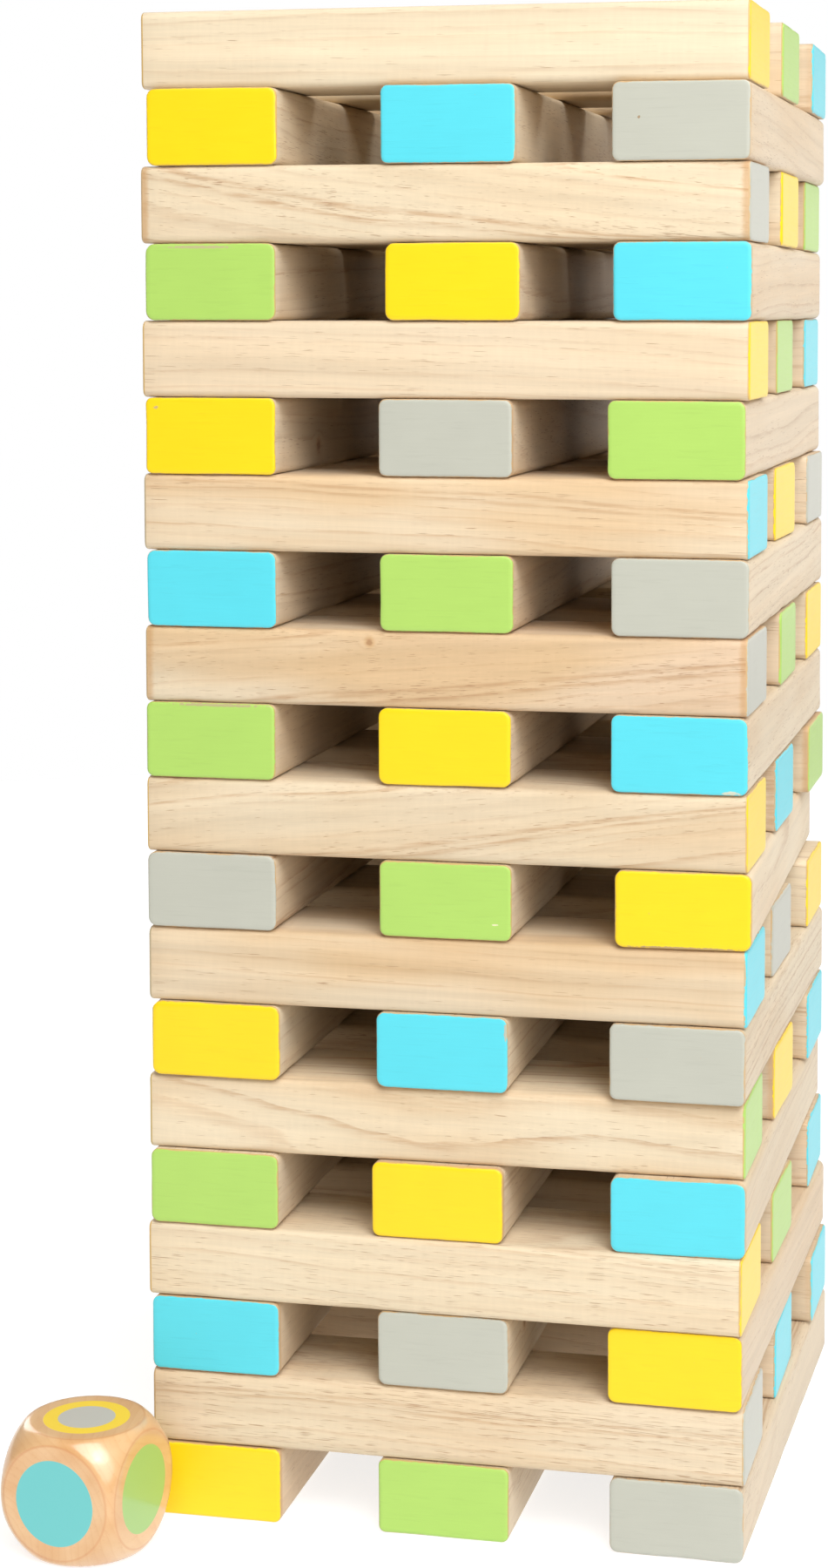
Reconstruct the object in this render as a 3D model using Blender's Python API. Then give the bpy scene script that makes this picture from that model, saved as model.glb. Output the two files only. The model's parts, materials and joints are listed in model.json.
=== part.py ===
"""Giant tumbling tower: sixty wooden blocks in twenty crossed layers, and a colour die.

Units are metres and +Z is up. The origin is on the ground, under the middle of the tower.
Odd layers (1 is the lowest) lie front to back along Y, even layers lie left to right along X.
The front is -Y, and every block has both of its ends painted in one of four colours.
"""

import math

import bmesh
import bpy
from mathutils import Matrix

MM = 0.001

# Blocks
BLOCK_LENGTH = 240 * MM
BLOCK_WIDTH = 53 * MM
LAYER_PITCH = 30 * MM
CONTACT_GAP = 0.3 * MM
BLOCK_HEIGHT = LAYER_PITCH - CONTACT_GAP
EDGE_RADIUS = 2.2 * MM
EDGE_SEGMENTS = 2

# Colour die: a cube whose corners are cut back by a ball
DIE_SIDE = 50.5 * MM
DIE_BALL_RADIUS = 34.4 * MM
DIE_BALL_DETAIL = 4
DIE_CENTRE_X = -136 * MM
DIE_CENTRE_Y = -152 * MM
DIE_TURN = math.radians(-9.4)

# End colours, lowest layer first: left, middle, right or front, middle, back
LAYER_COLOURS = (
    ("yellow", "green", "gray"),
    ("gray", "blue", "blue"),
    ("blue", "gray", "yellow"),
    ("yellow", "green", "blue"),
    ("green", "yellow", "blue"),
    ("green", "yellow", "blue"),
    ("yellow", "blue", "gray"),
    ("blue", "gray", "yellow"),
    ("gray", "green", "yellow"),
    ("yellow", "blue", "green"),
    ("green", "yellow", "blue"),
    ("gray", "green", "yellow"),
    ("blue", "green", "gray"),
    ("blue", "yellow", "gray"),
    ("yellow", "gray", "green"),
    ("yellow", "green", "blue"),
    ("green", "yellow", "blue"),
    ("gray", "yellow", "green"),
    ("yellow", "blue", "gray"),
    ("yellow", "green", "blue"),
)
PAINT = {
    "yellow": (0.95, 0.80, 0.05),
    "green": (0.55, 0.85, 0.20),
    "blue": (0.16, 0.82, 0.93),
    "gray": (0.62, 0.62, 0.56),
}
SIDES_ALONG_Y = ("left", "middle", "right")
SIDES_ALONG_X = ("front", "middle", "back")

# Blocks that the stacker left off their even spacing: shift along X and Y in mm, turn in degrees
HAND_PLACED = {
    "block_01_right": (2, 0, -1.1),
    "block_02_back": (4, 1, 0),
    "block_03_right": (1, 0, -1.0),
    "block_04_front": (-1, -1, -0.5),
    "block_04_middle": (0, -4.5, -1.4),
    "block_04_back": (1, 6, 0.4),
    "block_05_middle": (-1.5, 0, -0.3),
    "block_06_front": (-1, 2.5, 0.5),
    "block_06_middle": (0, -3, -1.2),
    "block_06_back": (1.5, 1, 0),
    "block_07_left": (1, 0, 0),
    "block_07_right": (0.5, 0, -0.5),
    "block_08_middle": (-1, -4, -0.9),
    "block_08_back": (1, 0.5, 0),
    "block_09_middle": (1.5, 0, 0),
    "block_09_right": (-1.5, 0, 1.5),
    "block_10_middle": (-0.5, -2.5, -0.3),
    "block_10_back": (1, 2.5, 0),
    "block_11_middle": (1.5, 0, 0),
    "block_12_middle": (0, 0.5, 0.6),
    "block_13_left": (1, 0, 0),
    "block_13_middle": (1.5, 0, 0.4),
    "block_14_middle": (-1, 0, -1.6),
    "block_15_left": (1, 0, 0),
    "block_15_middle": (2, 0, 0),
    "block_15_right": (-1.5, 0, 0),
    "block_16_middle": (-2, 0, 0.4),
    "block_16_back": (-2, 0, 0.5),
    "block_17_left": (1.5, 0, 0),
    "block_17_middle": (3.5, 0, 0.7),
    "block_17_right": (-0.5, 0, 0.5),
    "block_18_back": (-2, 0, 0),
    "block_19_left": (2.5, 0, 0),
    "block_19_middle": (2.5, 0, 0.4),
    "block_20_front": (-0.5, 3, -0.4),
    "block_20_back": (0.5, 2, 0.6),
}

# The lowest two middle blocks cross under the tower's axis and are one piece here
BASE_PAIR = ("block_01_middle", "block_02_middle")
BASE_PAIR_NAME = "blocks_01_02_middle"


def clear_scene():
    for thing in list(bpy.data.objects):
        bpy.data.objects.remove(thing, do_unlink=True)


def material(name, colour, roughness):
    made = bpy.data.materials.new(name)
    made.use_nodes = True
    shader = made.node_tree.nodes["Principled BSDF"]
    shader.inputs["Base Color"].default_value = (*colour, 1.0)
    shader.inputs["Roughness"].default_value = roughness
    shader.inputs["Metallic"].default_value = 0.0
    return made


def link(name, mesh):
    thing = bpy.data.objects.new(name, mesh)
    bpy.context.scene.collection.objects.link(thing)
    return thing


def block_mesh(name, wood, paint):
    """A block with its length along its own Y, centred on its origin, with painted ends."""
    mesh = bpy.data.meshes.new(name)
    shape = bmesh.new()
    size = (BLOCK_WIDTH, BLOCK_LENGTH, BLOCK_HEIGHT)
    bmesh.ops.create_cube(shape, size=1.0, matrix=Matrix.Diagonal((*size, 1.0)))
    for face in shape.faces:
        is_end = abs(face.normal.y) > 0.5
        face.material_index = 1 if is_end else 0
    shape.to_mesh(mesh)
    shape.free()
    mesh.materials.append(wood)
    mesh.materials.append(paint)
    return mesh


def round_edges(block):
    bevel = block.modifiers.new("rounded edges", "BEVEL")
    bevel.width = EDGE_RADIUS
    bevel.segments = EDGE_SEGMENTS
    bevel.limit_method = "ANGLE"
    block.data.shade_smooth()
    block.data.set_sharp_from_angle(angle=math.radians(50))


def add_block(name, place, turn, wood, paint):
    block = link(name, block_mesh(name, wood, paint))
    block.location = place
    block.rotation_euler = (0.0, 0.0, turn)
    round_edges(block)
    return block


def stack_place(layer, index):
    """Centre and turn of a block that stands exactly where the stacking rule puts it."""
    side = (index - 1) * (BLOCK_LENGTH - BLOCK_WIDTH) / 2
    height = layer * LAYER_PITCH + BLOCK_HEIGHT / 2
    if layer % 2 == 0:
        return (side, 0.0, height), 0.0
    return (0.0, side, height), math.radians(-90)


def add_layer(layer, wood, paints):
    sides = SIDES_ALONG_Y if layer % 2 == 0 else SIDES_ALONG_X
    for index, side in enumerate(sides):
        name = f"block_{layer + 1:02d}_{side}"
        (x, y, z), turn = stack_place(layer, index)
        shift_x, shift_y, twist = HAND_PLACED.get(name, (0, 0, 0))
        place = (x + shift_x * MM, y + shift_y * MM, z)
        paint = paints[LAYER_COLOURS[layer][index]]
        add_block(name, place, turn + math.radians(twist), wood, paint)


def box_object(name, size, place):
    mesh = bpy.data.meshes.new(name)
    shape = bmesh.new()
    bmesh.ops.create_cube(shape, size=1.0, matrix=Matrix.Diagonal((*size, 1.0)))
    shape.to_mesh(mesh)
    shape.free()
    box = link(name, mesh)
    box.location = place
    return box


def boolean(target, other, operation):
    """Cuts or joins target with another object, which is then only a guide."""
    other.hide_render = True
    other.display_type = "WIRE"
    modifier = target.modifiers.new(other.name, "BOOLEAN")
    modifier.operation = operation
    modifier.solver = "EXACT"
    modifier.object = other


def join_base_pair():
    """Joins the two crossing blocks by a thin pad that bridges the gap between them."""
    lower, upper = (bpy.data.objects[name] for name in BASE_PAIR)
    pad_width = BLOCK_WIDTH - 4 * EDGE_RADIUS
    pad_height = LAYER_PITCH - CONTACT_GAP / 2
    pad_size = (pad_width, pad_width, 6 * CONTACT_GAP)
    pad = box_object("base_pad", pad_size, (0.0, 0.0, pad_height))
    boolean(lower, pad, "UNION")
    boolean(lower, upper, "UNION")
    lower.name = BASE_PAIR_NAME


def add_die(wood):
    """A cube resting on the ground, cut back by a ball about its own centre."""
    place = (DIE_CENTRE_X, DIE_CENTRE_Y, DIE_SIDE / 2)
    die = box_object("colour_die", (DIE_SIDE, DIE_SIDE, DIE_SIDE), place)
    die.rotation_euler = (0.0, 0.0, DIE_TURN)
    die.data.materials.append(wood)
    mesh = bpy.data.meshes.new("die_ball")
    shape = bmesh.new()
    bmesh.ops.create_icosphere(shape, subdivisions=DIE_BALL_DETAIL, radius=DIE_BALL_RADIUS)
    shape.to_mesh(mesh)
    shape.free()
    ball = link("die_ball", mesh)
    ball.location = place
    boolean(die, ball, "INTERSECT")


def main():
    clear_scene()
    wood = material("natural_wood", (0.85, 0.68, 0.47), 0.6)
    die_wood = material("varnished_die_wood", (0.80, 0.50, 0.28), 0.25)
    paints = {name: material(f"paint_{name}", colour, 0.45) for name, colour in PAINT.items()}
    for layer in range(len(LAYER_COLOURS)):
        add_layer(layer, wood, paints)
    join_base_pair()
    add_die(die_wood)


main()
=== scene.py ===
import json
import math
import random

import bmesh
import bpy
import numpy as np
from mathutils import Euler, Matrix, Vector, noise


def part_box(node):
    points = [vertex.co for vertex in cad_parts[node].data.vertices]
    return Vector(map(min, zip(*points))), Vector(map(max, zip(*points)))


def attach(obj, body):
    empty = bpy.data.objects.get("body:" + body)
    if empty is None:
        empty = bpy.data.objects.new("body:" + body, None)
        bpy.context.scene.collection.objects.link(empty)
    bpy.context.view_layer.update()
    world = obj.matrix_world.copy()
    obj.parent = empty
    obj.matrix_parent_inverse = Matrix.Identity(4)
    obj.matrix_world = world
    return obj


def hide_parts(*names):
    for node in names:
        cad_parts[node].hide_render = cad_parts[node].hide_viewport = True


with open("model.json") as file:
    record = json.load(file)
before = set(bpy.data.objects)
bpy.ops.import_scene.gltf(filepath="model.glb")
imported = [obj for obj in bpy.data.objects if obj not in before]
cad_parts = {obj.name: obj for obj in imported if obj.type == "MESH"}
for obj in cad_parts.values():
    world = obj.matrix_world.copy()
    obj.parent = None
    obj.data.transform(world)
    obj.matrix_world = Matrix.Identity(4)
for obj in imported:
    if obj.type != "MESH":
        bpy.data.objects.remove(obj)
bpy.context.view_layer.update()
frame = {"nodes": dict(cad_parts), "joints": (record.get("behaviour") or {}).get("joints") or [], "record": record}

MM = 0.001

# ---------------------------------------------------------------- sizes from the frame

PAIR = "blocks_01_02_middle"
DIE = "colour_die"
SLIDES = {joint["child"]: Vector(joint["axis"]) for joint in frame["joints"]}
SLOTS = {part["node"]: part["material_slot"] for part in frame["record"]["subparts"]}


def node_centre(node):
    low, high = (Vector(corner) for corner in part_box(node))
    return (low + high) / 2


def node_size(node):
    low, high = (Vector(corner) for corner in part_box(node))
    return high - low


BLOCK_WIDTH, BLOCK_LENGTH, BLOCK_HEIGHT = node_size("block_01_left")
DIE_SIDE = node_size(DIE).z
# the ball that cuts the die's corners back, and the die's turn on the ground
DIE_BALL_RADIUS = 34.4 * MM
DIE_TURN = math.radians(-9.4)


# ---------------------------------------------------------------- object and mesh helpers


def link(name, data):
    """A new object in the scene with the given mesh, light or camera."""
    thing = bpy.data.objects.new(name, data)
    bpy.context.scene.collection.objects.link(thing)
    return thing


def box_grid(lines):
    """A closed box whose faces are grids on the given lines: (points, quads, face axes)."""
    counts = [len(axis_lines) for axis_lines in lines]
    index = {}
    points = []

    def corner(cell):
        key = tuple(cell)
        if key not in index:
            index[key] = len(points)
            points.append([lines[axis][key[axis]] for axis in range(3)])
        return index[key]

    quads = []
    axes = []
    for axis in range(3):
        u, v = (axis + 1) % 3, (axis + 2) % 3
        for end in (0, counts[axis] - 1):
            for a in range(counts[u] - 1):
                for b in range(counts[v] - 1):
                    quad = []
                    for da, db in ((0, 0), (1, 0), (1, 1), (0, 1)):
                        cell = [0, 0, 0]
                        cell[axis] = end
                        cell[u] = a + da
                        cell[v] = b + db
                        quad.append(corner(cell))
                    quads.append(quad if end else quad[::-1])
                    axes.append(axis)
    return np.array(points), quads, axes


def mesh_from(name, points, quads):
    mesh = bpy.data.meshes.new(name)
    mesh.from_pydata([tuple(p) for p in points], [], quads)
    mesh.shade_smooth()
    return mesh


def vector_attribute(mesh, name, values):
    attribute = mesh.attributes.new(name, "FLOAT_VECTOR", "POINT")
    attribute.data.foreach_set("vector", np.asarray(values, dtype=np.float32).ravel())


# ---------------------------------------------------------------- shader helpers


class Graph:
    """Short names for making and joining the nodes of one material."""

    def __init__(self, name):
        self.material = bpy.data.materials.new(name)
        self.material.use_nodes = True
        self.tree = self.material.node_tree
        self.shader = self.tree.nodes["Principled BSDF"]

    def put(self, socket, value):
        if isinstance(value, bpy.types.NodeSocket):
            self.tree.links.new(value, socket)
        elif value is not None:
            socket.default_value = value

    def node(self, kind, **settings):
        made = self.tree.nodes.new(kind)
        for key, value in settings.items():
            setattr(made, key, value)
        return made

    def attribute(self, name):
        return self.node("ShaderNodeAttribute", attribute_name=name).outputs["Vector"]

    def split(self, vector):
        made = self.node("ShaderNodeSeparateXYZ")
        self.put(made.inputs[0], vector)
        return made.outputs

    def math(self, operation, a, b=None, c=None, clamp=False):
        made = self.node("ShaderNodeMath", operation=operation, use_clamp=clamp)
        for socket, value in zip(made.inputs, (a, b, c)):
            self.put(socket, value)
        return made.outputs[0]

    def times(self, a, b, clamp=False):
        return self.math("MULTIPLY", a, b, clamp=clamp)

    def times_add(self, a, b, c):
        return self.math("MULTIPLY_ADD", a, b, c)

    def swing(self, value, width):
        """A factor that swings by width round 1 while value runs from 0 to 1."""
        return self.times_add(value, width, 1.0 - width / 2)

    def radius(self, a, b):
        square = self.math("ADD", self.math("POWER", a, 2.0), self.math("POWER", b, 2.0))
        return self.math("SQRT", square)

    def length(self, vector):
        made = self.node("ShaderNodeVectorMath", operation="LENGTH")
        self.put(made.inputs[0], vector)
        return made.outputs["Value"]

    def smooth(self, value, start, end):
        """0 at start and 1 at end, with a soft step between."""
        made = self.node("ShaderNodeMapRange", interpolation_type="SMOOTHSTEP")
        self.put(made.inputs["Value"], value)
        made.inputs["From Min"].default_value = start
        made.inputs["From Max"].default_value = end
        return made.outputs["Result"]

    def noise(self, vector, cells, detail=2.0, roughness=0.5):
        """Noise with so many cells per metre along each axis of the vector."""
        stretched = self.node("ShaderNodeVectorMath", operation="MULTIPLY")
        self.put(stretched.inputs[0], vector)
        stretched.inputs[1].default_value = cells
        made = self.node("ShaderNodeTexNoise")
        self.put(made.inputs["Vector"], stretched.outputs[0])
        made.inputs["Scale"].default_value = 1.0
        made.inputs["Detail"].default_value = detail
        made.inputs["Roughness"].default_value = roughness
        return made.outputs[0]

    def noise_line(self, value, pace, detail):
        """Noise along a single value, with so many cells for each unit of it."""
        made = self.node("ShaderNodeTexNoise", noise_dimensions="1D")
        self.put(made.inputs["W"], self.times(value, pace))
        made.inputs["Scale"].default_value = 1.0
        made.inputs["Detail"].default_value = detail
        return made.outputs[0]

    def mix(self, factor, a, b, mode="MIX"):
        made = self.node("ShaderNodeMix", data_type="RGBA", blend_type=mode)
        self.put(made.inputs[0], factor)
        self.put(made.inputs[6], a)
        self.put(made.inputs[7], b)
        return made.outputs[2]

    def shaded(self, colour, level):
        """The colour, made lighter or darker by a factor."""
        grey = self.node("ShaderNodeCombineColor")
        for socket in grey.inputs[:3]:
            self.put(socket, level)
        return self.mix(1.0, colour, grey.outputs[0], "MULTIPLY")

    def surface(self, colour, roughness, height, depth, **constants):
        """Fills in the material's shader. The height is a bump map so many metres deep."""
        bump = self.node("ShaderNodeBump")
        bump.inputs["Distance"].default_value = depth
        bump.inputs["Strength"].default_value = 0.5
        self.put(bump.inputs["Height"], height)
        self.put(self.shader.inputs["Base Color"], colour)
        self.put(self.shader.inputs["Roughness"], roughness)
        self.put(self.shader.inputs["Normal"], bump.outputs[0])
        for name, value in constants.items():
            self.shader.inputs[name.replace("_", " ")].default_value = value
        return self.material


def rgb(red, green, blue):
    """A shader colour from sRGB values of 0 to 255."""
    channels = []
    for value in (red, green, blue):
        share = value / 255
        linear = share / 12.92 if share <= 0.04045 else ((share + 0.055) / 1.055) ** 2.4
        channels.append(linear)
    return (*channels, 1.0)


# ---------------------------------------------------------------- wood of the blocks

# The wood and paint shaders read these vectors, which are stored on each block's points:
#   log    place in the tree, with the tree's heart along Y
#   spot   place on the block before it was sanded
#   edge   distance in from the long sides, distance in from the end, how far paint stops short
#   knot   offset from the block's knot in knot radii
#   mark   offset from the mark in the paint in mark sizes, then its darkness
#   look   contrast of the rings, amount of pores, warmth
#   tone   lightness, with painted light in it for some front blocks, redness, stain beside the paint
# A pair such as LATE_RISE holds the start and end of a soft step: 0 at the first, 1 at the second.

WOOD_PALE = rgb(219, 203, 175)
WOOD_RED = rgb(214, 186, 156)
WOOD_WARM = rgb(208, 176, 134)
WOOD_LINE = rgb(176, 134, 92)
WOOD_PORE = rgb(148, 104, 66)
END_STAIN = rgb(186, 136, 76)

# Growth rings: how wide a year is, how far slow and short waves bend it, how unevenly the tree
# grew over the years (in rings, and noise cells per ring), and by how many rings a knot bends
# them, between so many knot radii
RING_PITCH = 4.2 * MM
SLOW_BEND = 22 * MM
SHORT_BEND = 3.6 * MM
UNEVEN_GROWTH = 2.4
UNEVEN_GROWTH_PACE = 0.45
KNOT_BEND = 0.8
KNOT_BEND_REACH = (5.0, 1.0)

# Late wood: where in the year it darkens and stops, how far apart in the noise two years are,
# which years are faint and where the line is broken
LATE_RISE = (0.55, 0.94)
LATE_STOP = (1.0, 0.96)
YEAR_PACE = 7.31
FAINT_YEARS = (0.25, 0.70)
LINE_BREAKS = (0.28, 0.66)

# Pores: the start and the last of the year are rich in them, and so are some patches. Then by how
# much a rich part and the block's own amount lower the noise level at which a dash starts, that
# level, how softly a dash sets in and how dark it is.
PORES_AT_START = (0.30, 0.02)
PORES_AT_LAST = (0.90, 0.99)
PORE_PATCHES = (0.42, 0.66)
PORE_CROWD = 0.05
PORE_AMOUNT = 0.08
PORE_LEVEL = 0.73
PORE_SOFTNESS = 0.11
PORE_DARKNESS = 0.55

# Knots: how ragged the outline is, in knot radii, and the stained ring and dark core in it
KNOT_RAGGED = 0.9
KNOT_HALO = (2.6, 1.2)
KNOT_HALO_DARKNESS = 0.45
KNOT_CORE = (1.6, 1.0)
KNOT_CORE_DARKNESS = 0.6

# Noise cells per metre: across the log, along its grain, across it again
SLOW_BEND_CELLS = (16, 3.2, 16)
SHORT_BEND_CELLS = (60, 14, 60)
RING_BREAK_CELLS = (700, 40, 700)
KNOT_OUTLINE_CELLS = (900, 300, 900)
PORE_CELLS = (3000, 105, 3000)
PORE_PATCH_CELLS = (55, 8, 55)
FIBRE_CELLS = (1700, 32, 1700)
STREAK_CELLS = (330, 5, 330)
CLOUD_CELLS = (34, 7, 34)
PLANE_CELLS = (90, 520, 90)
STAIN_OUTLINE_CELLS = (500, 500, 500)

# How much fibres, streaks, the plane's marks and dark years change the wood's lightness. Then the
# noise cells per year for the last of them, and the clouds of warmer wood.
FIBRE_SWING = 0.13
STREAK_SWING = 0.24
PLANE_SWING = 0.07
BAND_SWING = 0.16
BAND_PACE = 0.6
WARM_CLOUDS = (0.36, 0.72)

# The wood's bump map: its depth and the parts that fibres, pores and the plane's marks have in
# it. Then the roughness, and what fibres add to it.
WOOD_BUMP = 0.12 * MM
FIBRE_BUMP = 0.5
PORE_BUMP = -1.0
PLANE_BUMP = 0.12
WOOD_ROUGHNESS = 0.48
FIBRE_ROUGHNESS = 0.18

# At the ends: how ragged stain and paint stop on the wood, where the stain fades out and how
# strong it is. Then how far the paint laps round the edge, and how much of it is lost where the
# paint of the end stops short of the rim.
END_RAGGED = 1.6 * MM
STAIN_BAND = (4.2 * MM, 1.8 * MM)
STAIN_STRENGTH = 0.55
LAP_BAND = (0.55 * MM, 0.3 * MM)
LAP_LOSS = 0.7


def growth_rings(graph, log, to_knot):
    """Distance from the tree's heart in rings, bent by slow and short waves and round the knot."""
    axes = graph.split(log)
    slow = graph.noise(log, SLOW_BEND_CELLS, detail=1.0)
    short = graph.noise(log, SHORT_BEND_CELLS)
    radius = graph.radius(axes[0], axes[2])
    radius = graph.math("ADD", radius, graph.times_add(slow, SLOW_BEND, -SLOW_BEND / 2))
    radius = graph.math("ADD", radius, graph.times_add(short, SHORT_BEND, -SHORT_BEND / 2))
    rings = graph.math("DIVIDE", radius, RING_PITCH)
    growth = graph.noise_line(rings, UNEVEN_GROWTH_PACE, detail=1.0)
    rings = graph.times_add(growth, UNEVEN_GROWTH, rings)
    return graph.times_add(graph.smooth(to_knot, *KNOT_BEND_REACH), KNOT_BEND, rings)


def late_wood(graph, log, rings, contrast):
    """The dark line of each year: it deepens slowly, stops abruptly and has gaps."""
    part = graph.math("FRACT", rings)
    year = graph.noise_line(graph.math("FLOOR", rings), YEAR_PACE, detail=0.0)
    broken = graph.noise(log, RING_BREAK_CELLS, detail=3.0, roughness=0.65)
    late = graph.times(graph.smooth(part, *LATE_RISE), graph.smooth(part, *LATE_STOP))
    late = graph.times(late, graph.smooth(year, *FAINT_YEARS))
    late = graph.times(late, graph.smooth(broken, *LINE_BREAKS))
    return graph.times(late, contrast, clamp=True)


def open_pores(graph, log, rings, amount):
    """Short dashes along the fibres, most of them where one year ends and the next starts."""
    part = graph.math("FRACT", rings)
    dash = graph.noise(log, PORE_CELLS, detail=1.0)
    start = graph.smooth(part, *PORES_AT_START)
    last = graph.smooth(part, *PORES_AT_LAST)
    rich = graph.math("MAXIMUM", start, last)
    patch = graph.smooth(graph.noise(log, PORE_PATCH_CELLS), *PORE_PATCHES)
    crowd = graph.times_add(graph.math("ADD", rich, patch), PORE_CROWD, -PORE_LEVEL)
    crowd = graph.times_add(amount, PORE_AMOUNT, crowd)
    return graph.smooth(graph.math("ADD", dash, crowd), 0.0, PORE_SOFTNESS)


def wood_look(graph, log):
    """Colour, bump height and fibre pattern of pale sanded wood."""
    contrast, pores, warmth = graph.split(graph.attribute("look"))[:3]
    lightness_and_painted_light, redness = graph.split(graph.attribute("tone"))[:2]
    ragged = graph.noise(log, KNOT_OUTLINE_CELLS)
    to_knot = graph.times_add(ragged, KNOT_RAGGED, graph.length(graph.attribute("knot")))
    rings = growth_rings(graph, log, to_knot)
    late = late_wood(graph, log, rings, contrast)
    pore = open_pores(graph, log, rings, pores)
    fibre = graph.noise(log, FIBRE_CELLS, roughness=0.6)
    streak = graph.noise(log, STREAK_CELLS, detail=3.0, roughness=0.65)
    cloud = graph.noise(log, CLOUD_CELLS)
    # the plane left faint marks across the length
    plane = graph.noise(log, PLANE_CELLS)
    # some years are darker than others, which shows as broad bands that follow the grain
    band = graph.noise_line(rings, BAND_PACE, detail=1.0)

    colour = graph.mix(redness, WOOD_PALE, WOOD_RED)
    warm = graph.times(graph.smooth(cloud, *WARM_CLOUDS), warmth, clamp=True)
    colour = graph.mix(warm, colour, WOOD_WARM)
    colour = graph.mix(late, colour, WOOD_LINE)
    shade = graph.times(graph.swing(fibre, FIBRE_SWING), graph.swing(streak, STREAK_SWING))
    shade = graph.times(shade, graph.swing(plane, PLANE_SWING))
    shade = graph.times(shade, graph.swing(band, BAND_SWING))
    # for the front blocks in CUTS the lightness also holds painted light, higher at the top and bottom of the
    # tower
    colour = graph.shaded(colour, graph.times(shade, lightness_and_painted_light))
    colour = graph.mix(graph.times(pore, PORE_DARKNESS), colour, WOOD_PORE)
    halo = graph.times(graph.smooth(to_knot, *KNOT_HALO), KNOT_HALO_DARKNESS)
    colour = graph.mix(halo, colour, END_STAIN)
    core = graph.times(graph.smooth(to_knot, *KNOT_CORE), KNOT_CORE_DARKNESS)
    colour = graph.mix(core, colour, WOOD_PORE)
    height = graph.times_add(fibre, FIBRE_BUMP, graph.times(pore, PORE_BUMP))
    height = graph.times_add(plane, PLANE_BUMP, height)
    return colour, height, fibre


def wood_material(paint_name):
    """The long faces of a block: bare wood, with a trace of stain and paint at the ends."""
    graph = Graph(f"wood_with_{paint_name}_ends")
    log = graph.attribute("log")
    colour, height, fibre = wood_look(graph, log)
    to_end, short = graph.split(graph.attribute("edge"))[1:3]
    stained = graph.split(graph.attribute("tone"))[2]
    wobble = graph.noise(log, STAIN_OUTLINE_CELLS, detail=3.0)
    ragged = graph.times_add(wobble, -END_RAGGED, END_RAGGED / 2)
    from_end = graph.math("ADD", to_end, ragged)
    stain = graph.smooth(from_end, *STAIN_BAND)
    colour = graph.mix(graph.times(stain, graph.times(stained, STAIN_STRENGTH)), colour, END_STAIN)
    # the paint laps a little way round the edge, less where it stops short
    lap = graph.smooth(graph.times_add(short, LAP_LOSS, from_end), *LAP_BAND)
    colour = graph.mix(lap, colour, PAINT[paint_name])
    return graph.surface(
        colour,
        graph.times_add(fibre, FIBRE_ROUGHNESS, WOOD_ROUGHNESS),
        height,
        WOOD_BUMP,
        IOR=1.45,
        Sheen_Weight=0.09,
        Sheen_Roughness=0.6,
    )


# ---------------------------------------------------------------- paint of the blocks

PAINT = {
    "yellow": rgb(243, 208, 0),
    "green": rgb(168, 206, 98),
    "blue": rgb(84, 208, 224),
    "gray": rgb(182, 183, 171),
}
BARE_EDGE = rgb(200, 162, 108)
MARK_PALE = rgb(232, 222, 192)
MARK_DARK = rgb(150, 118, 78)

# Noise cells per metre: across the end, along the block, up
BRUSH_CELLS = (45, 60, 1500)
STROKE_CELLS = (60, 60, 900)
PAINT_CLOUD_CELLS = (50, 50, 50)
SPECK_CELLS = (800, 800, 800)
MARK_OUTLINE_CELLS = (700, 700, 700)
RIM_WOBBLE_CELLS = (420, 420, 420)
RIM_PATCH_CELLS = (55, 55, 55)

# Brush lines and clouds change the paint's lightness, thick strokes and specks of wood show in it
BRUSH_SWING = 0.07
PAINT_CLOUD_SWING = 0.07
STROKES = (0.58, 0.70)
STROKE_SHADE = -0.03
SPECKS = (0.77, 0.82)
SPECK_STRENGTH = 0.5

# The mark's outline in mark sizes: how ragged it is and where it fades, then its strength
MARK_RAGGED = 1.6
MARK_OUTLINE = (1.8, 1.5)
MARK_STRENGTH = 0.8

# The bare rim: how far its outline wobbles and how much wider it is in patches. Both are taken off
# the distance from the long sides, and what is left shows bare wood below the levels of the band.
RIM_WOBBLE = 0.7 * MM
RIM_PATCH = 0.24 * MM
RIM_PATCHES = (0.50, 0.62)
RIM_BAND = (-0.24 * MM, -0.34 * MM)
BARE_STRENGTH = 0.85

# The paint's bump map and its parts. Then the roughness, and what brush lines add to it.
PAINT_BUMP = 0.10 * MM
STROKE_BUMP = 0.3
BRUSH_BUMP = 0.4
BARE_BUMP = -0.8
PAINT_ROUGHNESS = 0.36
BRUSH_ROUGHNESS = 0.14


def paint_mark(graph, log, colour):
    """Adds the chip or spot that the paint of some ends has."""
    across, up, dark = graph.split(graph.attribute("mark"))[:3]
    ragged = graph.noise(log, MARK_OUTLINE_CELLS, detail=3.0)
    from_mark = graph.times_add(ragged, MARK_RAGGED, graph.radius(across, up))
    inside = graph.times(graph.smooth(from_mark, *MARK_OUTLINE), MARK_STRENGTH)
    return graph.mix(inside, colour, graph.mix(dark, MARK_PALE, MARK_DARK))


def bare_rim(graph, log):
    """1 where the paint has worn off the rim of the end or never reached it."""
    to_side, _, short = graph.split(graph.attribute("edge"))[:3]
    wobble = graph.noise(log, RIM_WOBBLE_CELLS, detail=3.0)
    patch = graph.smooth(graph.noise(log, RIM_PATCH_CELLS), *RIM_PATCHES)
    rim = graph.times_add(wobble, -RIM_WOBBLE, graph.math("SUBTRACT", to_side, short))
    rim = graph.times_add(patch, -RIM_PATCH, rim)
    return graph.smooth(rim, *RIM_BAND)


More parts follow.
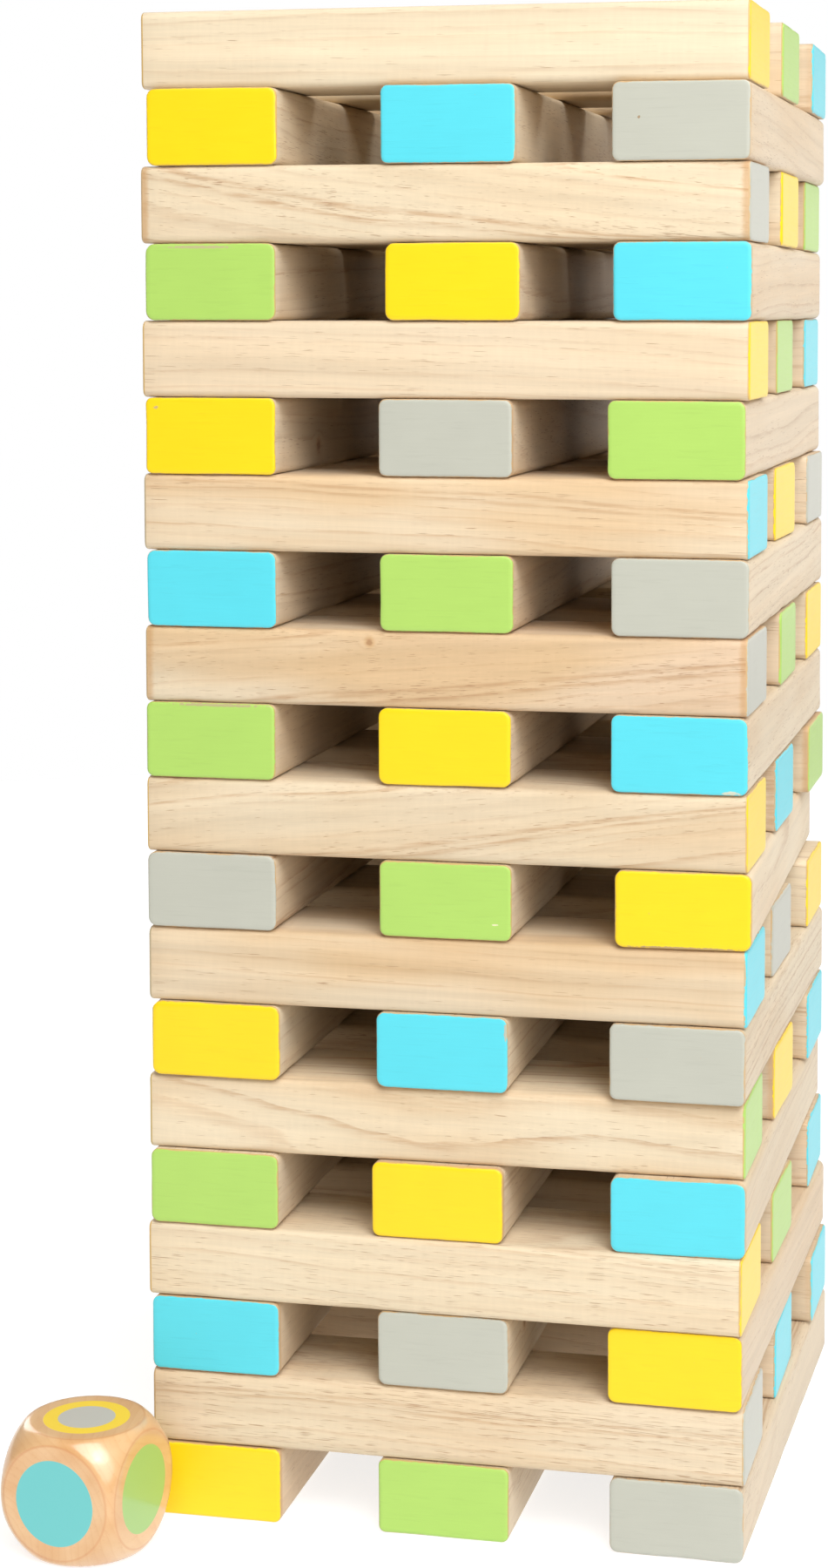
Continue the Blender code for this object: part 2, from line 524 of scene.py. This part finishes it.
def paint_material(paint_name):
    """A painted end: thin brushed paint over the grain, worn through on the rim in places."""
    graph = Graph(f"paint_{paint_name}")
    log = graph.attribute("log")
    brush = graph.noise(graph.attribute("spot"), BRUSH_CELLS, detail=3.0, roughness=0.65)
    strokes = graph.smooth(graph.noise(log, STROKE_CELLS), *STROKES)
    cloud = graph.noise(log, PAINT_CLOUD_CELLS)
    speck = graph.smooth(graph.noise(log, SPECK_CELLS), *SPECKS)
    level = graph.times(graph.swing(brush, BRUSH_SWING), graph.swing(cloud, PAINT_CLOUD_SWING))
    level = graph.times(level, graph.times_add(strokes, STROKE_SHADE, 1.0))
    colour = graph.shaded(PAINT[paint_name], level)
    colour = graph.mix(graph.times(speck, SPECK_STRENGTH), colour, BARE_EDGE)
    colour = paint_mark(graph, log, colour)
    bare = bare_rim(graph, log)
    colour = graph.mix(graph.times(bare, BARE_STRENGTH), colour, BARE_EDGE)
    height = graph.times_add(strokes, STROKE_BUMP, graph.times(brush, BRUSH_BUMP))
    height = graph.times_add(bare, BARE_BUMP, height)
    return graph.surface(
        colour,
        graph.times_add(brush, BRUSH_ROUGHNESS, PAINT_ROUGHNESS),
        height,
        PAINT_BUMP,
        IOR=1.5,
        Sheen_Weight=0.12,
        Sheen_Roughness=0.45,
    )


# ---------------------------------------------------------------- wood and paint of the die

DIE_PALE = rgb(226, 185, 137)
DIE_DEEP = rgb(216, 166, 113)
DIE_LINE = rgb(200, 132, 78)
DIE_FIBRE = rgb(190, 120, 70)
DIE_RIDGE = rgb(206, 138, 84)

# The die's growth lines: how close, how far bent, how late in the year they deepen, where they
# stop and how dark they are. Then the clouds of deeper colour, and which fibres are dark.
DIE_RINGS_PER_METRE = 330.0
DIE_BEND = 4 * MM
DIE_LINE_POWER = 4.0
DIE_LINE_STOP = (1.0, 0.9)
DIE_LINE_STRENGTH = 0.22
DIE_CLOUDS = (0.3, 0.7)
DIE_FIBRES = (0.55, 0.8)
DIE_FIBRE_STRENGTH = 0.2

# Noise cells per metre: across the log, along its grain, across it again
DIE_BEND_CELLS = (60, 12, 60)
DIE_FIBRE_CELLS = (900, 60, 900)
DIE_CLOUD_CELLS = (60, 20, 60)

# Painted discs of the die: axis, side, colour, and the colour of the smaller disc on it, if any
DIE_DISCS = (
    (2, 1, "yellow", "gray"),
    (1, -1, "blue", None),
    (0, 1, "green", None),
    (1, 1, "green", "yellow"),
    (0, -1, "yellow", None),
    (2, -1, "gray", None),
)
DISC_PAINT = {
    "yellow": rgb(248, 214, 40),
    "green": rgb(152, 196, 108),
    "blue": rgb(96, 194, 194),
    "gray": rgb(190, 190, 184),
}
DISC_RADIUS = 16.9 * MM
DISC_INNER_RADIUS = 11.2 * MM
DISC_SOFT_EDGE = 0.12 * MM

# The darker line round each face, where the flat face meets the ball: its radius, where it fades to both sides and
# its strength
RIDGE_RADIUS = 22.6 * MM
RIDGE_BAND = (0.7 * MM, 0.1 * MM)
RIDGE_STRENGTH = 0.45

# How far below a face's level a point still counts as on the face, and as near it
ON_FACE = 0.25 * MM
NEAR_FACE = 1.75 * MM

# The die's bump map and its parts. Then the roughness, and what the painted discs add to it.
DIE_BUMP = 0.08 * MM
DIE_FIBRE_BUMP = 0.5
DISC_BUMP = 0.8
DIE_ROUGHNESS = 0.34
DISC_ROUGHNESS = 0.14


def die_wood(graph, log):
    """Colour and fibre pattern of the die's bare wood."""
    axes = graph.split(log)
    bend = graph.noise(log, DIE_BEND_CELLS)
    radius = graph.times_add(bend, DIE_BEND, graph.radius(axes[0], axes[2]))
    part = graph.math("FRACT", graph.times(radius, DIE_RINGS_PER_METRE))
    rise = graph.math("POWER", part, DIE_LINE_POWER)
    line = graph.times(rise, graph.smooth(part, *DIE_LINE_STOP))
    fibre = graph.noise(log, DIE_FIBRE_CELLS, roughness=0.6)
    cloud = graph.noise(log, DIE_CLOUD_CELLS)
    colour = graph.mix(graph.smooth(cloud, *DIE_CLOUDS), DIE_PALE, DIE_DEEP)
    colour = graph.mix(graph.times(line, DIE_LINE_STRENGTH), colour, DIE_LINE)
    dark = graph.times(graph.smooth(fibre, *DIE_FIBRES), DIE_FIBRE_STRENGTH)
    return graph.mix(dark, colour, DIE_FIBRE), fibre


def disc_area(graph, from_centre, radius, flat):
    """1 inside the radius on the flat face and 0 elsewhere."""
    soft = DISC_SOFT_EDGE
    return graph.times(graph.smooth(from_centre, radius + soft, radius - soft), flat)


def die_material():
    """Varnished wood with a painted disc on each face and a darker line round it where it meets the ball."""
    graph = Graph("varnished_die")
    spot = graph.split(graph.attribute("spot"))
    colour, fibre = die_wood(graph, graph.attribute("log"))
    face = DIE_SIDE / 2
    painted = 0.0
    for axis, side, outer, inner in DIE_DISCS:
        level = graph.times(spot[axis], float(side))
        flat = graph.math("GREATER_THAN", level, face - ON_FACE)
        from_centre = graph.radius(spot[(axis + 1) % 3], spot[(axis + 2) % 3])
        disc = disc_area(graph, from_centre, DISC_RADIUS, flat)
        colour = graph.mix(disc, colour, DISC_PAINT[outer])
        ridge = graph.math("ABSOLUTE", graph.math("SUBTRACT", from_centre, RIDGE_RADIUS))
        near_face = graph.math("GREATER_THAN", level, face - NEAR_FACE)
        ridge = graph.times(graph.smooth(ridge, *RIDGE_BAND), near_face)
        colour = graph.mix(graph.times(ridge, RIDGE_STRENGTH), colour, DIE_RIDGE)
        if inner:
            core = disc_area(graph, from_centre, DISC_INNER_RADIUS, flat)
            colour = graph.mix(core, colour, DISC_PAINT[inner])
        painted = graph.math("MAXIMUM", painted, disc)
    return graph.surface(
        colour,
        graph.times_add(painted, DISC_ROUGHNESS, DIE_ROUGHNESS),
        graph.times_add(painted, DISC_BUMP, graph.times(fibre, DIE_FIBRE_BUMP)),
        DIE_BUMP,
        Coat_Weight=0.85,
        Coat_Roughness=0.14,
    )


# ---------------------------------------------------------------- blocks

# How the blocks seen from the front were cut. Heart: the direction from the tree's heart to the
# block in degrees with 90 for up, the distance in mm, and how much it grows along the block.
# Look: contrast of the rings, pores, warmth. Tone: lightness, redness, stain beside the paint.
# The lightness here is the wood's own tone plus painted light: higher at the top and bottom of the tower, lower in
# the middle
CUTS = {
    "block_20_front": ((78, 95, 0.02), (0.25, 0.35, 0.1), (1.06, 0.0, 0.0)),
    "block_18_front": ((52, 55, 0.09), (0.60, 0.70, 0.3), (1.02, 0.0, 1.0)),
    "block_16_front": ((70, 90, 0.03), (0.25, 0.40, 0.2), (1.03, 0.3, 0.0)),
    "block_14_front": ((84, 60, 0.02), (0.50, 0.35, 0.8), (1.03, 0.2, 0.0)),
    "block_12_front": ((48, 60, -0.07), (0.60, 0.50, 0.9), (0.97, 0.5, 0.9)),
    "block_10_front": ((58, 60, -0.09), (0.55, 0.50, 0.5), (0.97, 0.1, 0.0)),
    "block_08_front": ((84, 90, 0.01), (0.30, 0.25, 0.9), (0.97, 0.2, 0.0)),
    "block_06_front": ((25, 25.2, 0.040), (1.00, 0.40, 0.5), (1.02, 0.0, 0.0)),
    "block_04_front": ((86, 55, 0.01), (0.35, 0.90, 0.3), (1.03, 0.0, 0.0)),
    "block_02_front": ((84, 60, 0.02), (0.45, 1.10, 0.5), (1.00, 0.2, 0.0)),
}
# How much redder than its middle a block is at its right end
REDDER_ALONG = {"block_12_front": 0.45}

# Rounding of the four long edges and of the edges round the ends, from and to, in mm
SIDE_RADIUS = (2.7, 3.6)
END_RADIUS = (0.8, 1.15)
# The CAD keeps 0.3 mm between layers, and the visible blocks all but close that gap
CLOSER = 0.26 * MM
# Grid of a block: cells along it, and the width of those across it
CELLS_ALONG = 30
CELL_WIDTH = 8 * MM

# How far the paint stops short of the rim, from and to, in mm, and how far it does so on the
# left ends of the crosswise blocks
PAINT_SHORT = (-0.04, 0.20)
LEFT_END_SHORT = 0.9

# Sanding: roughly the most that comes off the faces and off the edges, with noise cells per metre
# for each, and the share of the wear that the edges round the ends get
SAND_DEPTH = 0.07 * MM
SAND_CELLS = 26
EDGE_WEAR = 0.55 * MM
EDGE_WEAR_CELLS = 60
END_EDGE_SHARE = 0.7

# Knots: place on the block and radius in mm. Marks in the paint of front ends: place across and
# up, half width and half height in mm, then 0 for a pale chip to 1 for a dark one.
KNOTS = {
    "block_12_front": ((26.5, -28.4, 10.6), 1.4),
    "block_15_left": ((26.0, -60.0, -6.0), 2.4),
    "block_03_middle": ((26.0, -90.0, 4.0), 2.0),
}
MARKS = {
    "block_19_right": ((-16.0, 1.5), (0.6, 0.6), 1.0),
    "block_17_left": ((-4.0, 13.5), (16.0, 0.6), 0.6),
    "block_15_left": ((-22.0, 11.0), (1.4, 0.7), 0.7),
    "block_11_left": ((2.0, 14.2), (20.0, 0.7), 0.7),
    "block_11_right": ((20.0, -14.0), (4.0, 0.9), 0.2),
    "block_09_middle": ((20.0, -8.5), (1.8, 0.3), 0.0),
    "block_09_right": ((0.0, -14.4), (24.0, 0.6), 0.8),
    "block_07_middle": ((25.6, 9.0), (0.7, 4.0), 0.6),
}
# The offset from a knot or mark that a block doesn't have: too far away to show
NOWHERE = 1000.0

# How far to both sides the blocks are spread in the noise, so that no two are alike: in metres
# along the log for the grain, and in cells for the sanding
LOG_REACH = 20
SEED_REACH = 50


def random_cut(rng):
    """Heart, look and tone of a block that isn't in the table."""
    heart = (rng.uniform(0, 360), rng.uniform(30, 95), rng.uniform(-0.05, 0.05))
    look = (rng.uniform(0.25, 0.65), rng.uniform(0.2, 0.9), rng.uniform(0.1, 0.6))
    tone = (rng.uniform(0.95, 1.03), rng.uniform(0.0, 0.5), max(0.0, rng.uniform(-1.5, 1.0)))
    return heart, look, tone


def side_lines(half, side, end, spacing):
    """Grid lines across a block: close together on the rounded edges and spaced between them."""
    core = half - side
    # the steps between side and side - end also draw the smaller rounding round the ends
    steps = (side, side - 0.13 * end, side - 0.5 * end, side - end, (side - end) / 2)
    edge = [core + step for step in reversed(steps)]
    cells = max(1, round(2 * core / spacing))
    middle = [-core + 2 * core * k / cells for k in range(cells + 1)]
    return [-v for v in reversed(edge)] + middle + edge


def rounded_block(rng):
    """A sanded block with its length along Y.

    The four long edges have the side radius and the edges round the two ends a smaller one.
    Returns the points, the way out at each point, the edge vectors that the shaders read, the
    quads, and which of them are on the ends.
    """
    half = np.array((BLOCK_WIDTH, BLOCK_LENGTH, BLOCK_HEIGHT + CLOSER)) / 2
    side = rng.uniform(*SIDE_RADIUS) * MM
    end = rng.uniform(*END_RADIUS) * MM
    reach = half[1] - end
    cells = CELLS_ALONG
    lines = [
        side_lines(half[0], side, end, CELL_WIDTH),
        [-reach + 2 * reach * k / cells for k in range(cells + 1)],
        side_lines(half[2], side, end, CELL_WIDTH),
    ]
    grid, quads, axes = box_grid(lines)
    # across the block: each square ring of the grid becomes a ring with round corners
    across = grid[:, (0, 2)]
    core = np.clip(across, -(half[[0, 2]] - side), half[[0, 2]] - side)
    away = across - core
    square = np.abs(away).max(axis=1)
    length = np.linalg.norm(away, axis=1)
    way = away / np.maximum(length, 1e-12)[:, None]
    across = core + way * square[:, None]
    # along the block: the outermost rings of the end grids curve back to the long faces
    inset = side - square
    on_end = np.abs(np.abs(grid[:, 1]) - reach) < 1e-9
    depth = np.clip(end - inset, 0.0, end)
    rise = np.where(on_end, np.sqrt(end * end - depth * depth), 0.0)
    outward = np.sign(grid[:, 1]) * on_end
    points = np.column_stack((across[:, 0], grid[:, 1] + outward * rise, across[:, 1]))
    level = outward * rise / end
    flat = np.sqrt(np.maximum(0.0, 1 - level * level))
    normal = np.column_stack((way[:, 0] * flat, level, way[:, 1] * flat))
    short = np.where(points[:, 1] < 0, *(rng.uniform(*PAINT_SHORT) * MM for _ in range(2)))
    edge = np.column_stack((inset, half[1] - np.abs(points[:, 1]), short))
    return points, normal, edge, quads, [axis == 1 for axis in axes]


def sand(points, normal, edge, rng):
    """Takes off a little more wood here and there, and wears the edges: always inwards."""
    seed = Vector([rng.uniform(-SEED_REACH, SEED_REACH) for _ in range(3)])
    worn = points.copy()
    across = np.abs(normal[:, (0, 2)])
    for i, point in enumerate(points):
        place = Vector(point)
        depth = SAND_DEPTH * (0.5 + 0.5 * noise.noise(place * SAND_CELLS + seed))
        # on a long edge the way out is slanted, on an end's edge it is close to the end
        on_long_edge = min(across[i]) * 2.0
        on_end_edge = 1.0 if edge[i][1] < 1.0 * MM and abs(normal[i][1]) < 0.95 else 0.0
        wear = max(0.0, noise.noise(place * EDGE_WEAR_CELLS + seed * 2) - 0.05)
        depth += EDGE_WEAR * wear * max(on_long_edge, END_EDGE_SHARE * on_end_edge)
        worn[i] -= normal[i] * depth
    return worn


def log_points(points, heart, rng):
    """Each point's place in the tree that the block was sawn from, with its heart along Y."""
    angle, distance, tilt = math.radians(heart[0]), heart[1] * MM, heart[2]
    log = points.copy()
    log[:, 0] += math.cos(angle) * (distance + tilt * points[:, 1])
    log[:, 2] += math.sin(angle) * (distance + tilt * points[:, 1])
    log[:, 1] += rng.uniform(-LOG_REACH, LOG_REACH)
    return log


def knot_points(points, node):
    """Offset of each point from the block's knot, in knot radii."""
    if node not in KNOTS:
        return np.full(points.shape, NOWHERE)
    place, radius = KNOTS[node]
    return (points - np.array(place) * MM) / (radius * MM)


def mark_points(points, node):
    """Offset of each point from the mark in the front end's paint, in mark sizes, and its tone."""
    offset = np.full(points.shape, NOWHERE)
    if node in MARKS:
        place, size, dark = MARKS[node]
        front = points[:, 1] < 0
        offset[front, 0] = (points[front, 0] / MM - place[0]) / size[0]
        offset[front, 1] = (points[front, 2] / MM - place[1]) / size[1]
        offset[:, 2] = dark
    return offset


def make_block(name, centre, direction, materials, cut):
    """A wooden block with painted ends, its length along the given direction."""
    rng = random.Random(name)
    node = name.removeprefix("wood_")
    heart, look, tone = cut or random_cut(rng)
    points, normal, edge, quads, on_end = rounded_block(rng)
    if abs(direction.x) > 0.5:
        edge[points[:, 1] < 0, 2] = LEFT_END_SHORT * MM
    shape = sand(points, normal, edge, rng)
    mesh = mesh_from(name, shape, quads)
    vector_attribute(mesh, "spot", points)
    vector_attribute(mesh, "edge", edge)
    vector_attribute(mesh, "log", log_points(points, heart, rng))
    vector_attribute(mesh, "knot", knot_points(points, node))
    vector_attribute(mesh, "mark", mark_points(points, node))
    vector_attribute(mesh, "look", np.tile(np.array(look), (len(points), 1)))
    tones = np.tile(np.array(tone), (len(points), 1))
    tones[:, 1] += REDDER_ALONG.get(node, 0.0) * points[:, 1] / (BLOCK_LENGTH / 2)
    vector_attribute(mesh, "tone", tones)
    for material in materials:
        mesh.materials.append(material)
    mesh.polygons.foreach_set("material_index", [int(flag) for flag in on_end])
    block = link(name, mesh)
    block.location = centre
    block.rotation_euler = (0.0, 0.0, math.atan2(-direction.x, direction.y))
    return block


def make_blocks(materials):
    for node in frame["nodes"]:
        if not node.startswith("block_"):
            continue
        paints = materials[SLOTS[node].split("_")[1]]
        centre = node_centre(node)
        piece = make_block(f"wood_{node}", centre, SLIDES[node], paints, CUTS.get(node))
        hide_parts(node)
        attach(piece, node)


def make_pair(materials):
    """The two crossing blocks that share one node."""
    low, high = (Vector(corner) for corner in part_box(PAIR))
    lower_place = Vector((0.0, 0.0, low.z + BLOCK_HEIGHT / 2))
    upper_place = Vector((0.0, 0.0, high.z - BLOCK_HEIGHT / 2))
    pair = (
        ("wood_block_01_middle", lower_place, Vector((0.0, 1.0, 0.0)), "green"),
        ("wood_block_02_middle", upper_place, Vector((1.0, 0.0, 0.0)), "blue"),
    )
    for name, place, direction, colour in pair:
        piece = make_block(name, place, direction, materials[colour], None)
        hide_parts(PAIR)
        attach(piece, PAIR)


# ---------------------------------------------------------------- die

# Cells along each side of the die's grid, how soft the rim of each face is, and the heart of the
# tree it was cut from: direction in degrees, distance in mm, growth of the distance
DIE_CELLS = 44
DIE_RIM_BLEND = 0.6 * MM
DIE_HEART = (35, 42, 0.25)


def make_die():
    """A turned die: a cube cut back by a ball, with a soft rim round each face."""
    half = DIE_SIDE / 2
    cells = DIE_CELLS
    # lines at equal angles seen from the die's centre
    lines = [math.tan(math.radians(45) * (2 * k / cells - 1)) * half for k in range(cells + 1)]
    points, quads, axes = box_grid([lines, lines, lines])
    direction = points / np.linalg.norm(points, axis=1, keepdims=True)
    to_face = half / np.abs(direction).max(axis=1)
    gap = to_face - DIE_BALL_RADIUS
    reach = DIE_BALL_RADIUS + (gap - np.sqrt(gap * gap + DIE_RIM_BLEND * DIE_RIM_BLEND)) / 2
    shape = direction * reach[:, None]
    mesh = mesh_from("wood_colour_die", shape, quads)
    rng = random.Random("colour_die")
    vector_attribute(mesh, "spot", shape)
    vector_attribute(mesh, "log", log_points(shape, DIE_HEART, rng))
    mesh.materials.append(die_material())
    die = link("wood_colour_die", mesh)
    die.location = node_centre(DIE)
    die.rotation_euler = (0.0, 0.0, DIE_TURN)
    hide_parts(DIE)
    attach(die, DIE)


# ---------------------------------------------------------------- studio

# A pale round floor with a glow of its own, so that only a faint shadow shows on it
FLOOR_RADIUS = 1.8
FLOOR_LEVEL = -0.2 * MM
FLOOR_GREY = 0.35
FLOOR_GLOW = 0.76

# Light from all round, and the plain background that the camera sees in its place
SKY_LIGHT = (0.222, 0.20, 0.165, 1.0)
BACKGROUND = (1.0, 1.0, 1.0, 1.0)

# A wide sun from above the front: the side it comes from, its strength and spread in degrees
SUN = ((0.30, -0.80, 1.35), 2.0, 40)

# Soft round lights: name, place, the point each is turned to, diameter in metres, watts
SOFT_LIGHTS = (
    ("key", (0.85, -1.25, 0.95), (0, 0, 0.70), 1.1, 9),
    ("lift", (0.50, -0.75, 1.00), (0, 0, 0.75), 0.5, 3.6),
    ("rim", (0.9, 0.35, 1.3), (0, 0, 0.75), 0.5, 3.4),
    ("back", (-1.6, 1.4, 0.9), (0, 0, 0.30), 1.2, 11),
    ("gloss", (0.38, 0.60, 0.46), (0.12, 0.05, 0.45), 0.5, 0.65),
)

# The photo's camera, fitted to the corners of the blocks in it
CAMERA_PLACE = (0.2702, -1.1988, 0.4846)
CAMERA_TILT = math.radians(85.706)
CAMERA_TURN = math.radians(11.732)
CAMERA_LENS = 66.47
CAMERA_SHIFT = (-0.0914, -0.1647)


def make_floor():
    graph = Graph("pale_floor")
    graph.shader.inputs["Base Color"].default_value = (FLOOR_GREY, FLOOR_GREY, FLOOR_GREY, 1.0)
    graph.shader.inputs["Roughness"].default_value = 0.9
    graph.shader.inputs["Emission Color"].default_value = (1.0, 1.0, 1.0, 1.0)
    graph.shader.inputs["Emission Strength"].default_value = FLOOR_GLOW
    mesh = bpy.data.meshes.new("floor")
    shape = bmesh.new()
    bmesh.ops.create_circle(shape, cap_ends=True, radius=FLOOR_RADIUS, segments=96)
    shape.to_mesh(mesh)
    shape.free()
    floor = link("floor", mesh)
    floor.location.z = FLOOR_LEVEL
    mesh.materials.append(graph.material)


def sun_light(name, side, strength, spread):
    light = bpy.data.lights.new(name, "SUN")
    light.energy = strength
    light.angle = math.radians(spread)
    lamp = link(name, light)
    lamp.rotation_euler = (-Vector(side)).to_track_quat("-Z", "Y").to_euler()


def soft_light(name, place, target, size, watts):
    light = bpy.data.lights.new(name, "AREA")
    light.shape = "DISK"
    light.size = size
    light.energy = watts
    lamp = link(name, light)
    lamp.location = place
    lamp.rotation_euler = (Vector(target) - Vector(place)).to_track_quat("-Z", "Y").to_euler()
    lamp.visible_camera = False


def make_world():
    world = bpy.data.worlds.new("studio")
    world.use_nodes = True
    tree = world.node_tree
    path = tree.nodes.new("ShaderNodeLightPath")
    sky = tree.nodes.new("ShaderNodeMix")
    sky.data_type = "RGBA"
    sky.inputs[6].default_value = SKY_LIGHT
    sky.inputs[7].default_value = BACKGROUND
    tree.links.new(path.outputs["Is Camera Ray"], sky.inputs[0])
    tree.links.new(sky.outputs[2], tree.nodes["Background"].inputs["Color"])
    bpy.context.scene.world = world
    bpy.context.scene.view_settings.view_transform = "Standard"


def make_camera():
    data = bpy.data.cameras.new("camera")
    data.sensor_width = 36.0
    data.lens = CAMERA_LENS
    data.shift_x, data.shift_y = CAMERA_SHIFT
    data.clip_end = 50.0
    camera = link("camera", data)
    camera.location = CAMERA_PLACE
    camera.rotation_euler = Euler((CAMERA_TILT, 0.0, CAMERA_TURN))
    bpy.context.scene.camera = camera


block_materials = {name: (wood_material(name), paint_material(name)) for name in PAINT}
make_blocks(block_materials)
make_pair(block_materials)
make_die()
make_floor()
sun_light("top", *SUN)
for light_values in SOFT_LIGHTS:
    soft_light(*light_values)
make_world()
make_camera()
